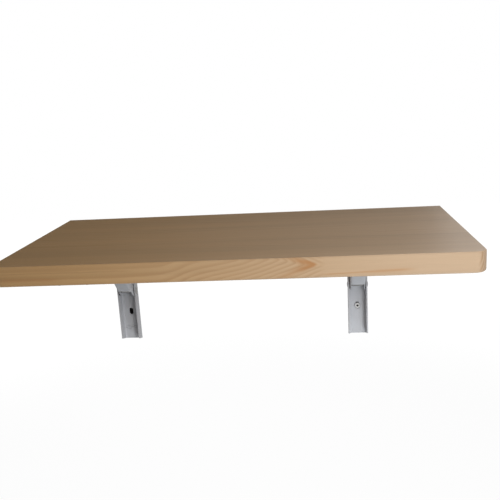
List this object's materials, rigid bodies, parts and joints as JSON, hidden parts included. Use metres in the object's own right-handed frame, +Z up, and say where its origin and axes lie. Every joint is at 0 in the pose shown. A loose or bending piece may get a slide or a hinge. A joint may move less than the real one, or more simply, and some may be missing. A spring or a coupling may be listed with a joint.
{
  "type": "wall mounted drop leaf table",
  "caption": "Wall mounted drop leaf table: a wooden leaf with rounded front corners on folding steel brackets, which lets down flat against the wall.",
  "frame": {"origin": "on the wall plane, midway between the upper wall holes of the two brackets", "axes": "+X to the right along the wall seen from the room, +Y into the wall, +Z up"},
  "size_m": [0.6, 0.302, 0.209],
  "materials": {
    "leaf_wood": "oiled, satin",
    "bracket_paint": "satin powder coat",
    "bright_steel": "zinc plated",
    "pin_steel": "oiled, dulled by use",
    "spring_steel": "tempered strip",
    "nylon": "black nylon"
  },
  "bodies": {
    "wall_mount": {"left_wall_leg": "bracket_paint", "left_hinge_pin": "pin_steel", "left_hinge_washers": "nylon", "left_brace_pin": "pin_steel", "left_brace_washers": "nylon", "right_wall_leg": "bracket_paint", "right_hinge_pin": "pin_steel", "right_hinge_washers": "nylon", "right_brace_pin": "pin_steel", "right_brace_washers": "nylon"},
    "leaf": {"tabletop": "leaf_wood", "left_arm": "bracket_paint", "left_catch_spring": "spring_steel", "left_catch_rivets": "bright_steel", "left_arm_screws": "bright_steel", "right_arm": "bracket_paint", "right_catch_spring": "spring_steel", "right_catch_rivets": "bright_steel", "right_arm_screws": "bright_steel"},
    "left_support": {"left_brace": "bracket_paint", "left_slide_pin": "pin_steel", "left_slide_sleeves": "nylon"},
    "right_support": {"right_brace": "bracket_paint", "right_slide_pin": "pin_steel", "right_slide_sleeves": "nylon"}
  },
  "joints": [
    {"name": "leaf_fold", "type": "hinge", "parent": "wall_mount", "child": "leaf", "pos_m": [0, -0.011, 0.028], "axis": [1, 0, 0], "range_deg": [0, 90], "deforming": ["left_catch_spring", "right_catch_spring"]},
    {"name": "left_brace_fold", "type": "hinge", "parent": "wall_mount", "child": "left_support", "pos_m": [-0.19, -0.014, -0.043], "axis": [1, 0, 0], "range_deg": [0, 132.5]},
    {"name": "right_brace_fold", "type": "hinge", "parent": "wall_mount", "child": "right_support", "pos_m": [0.19, -0.014, -0.043], "axis": [1, 0, 0], "range_deg": [0, 132.5]}
  ],
  "couplings": [
    {"joint": "left_brace_fold", "follows": "leaf_fold", "ratio": 1.4722},
    {"joint": "right_brace_fold", "follows": "leaf_fold", "ratio": 1.4722}
  ]
}
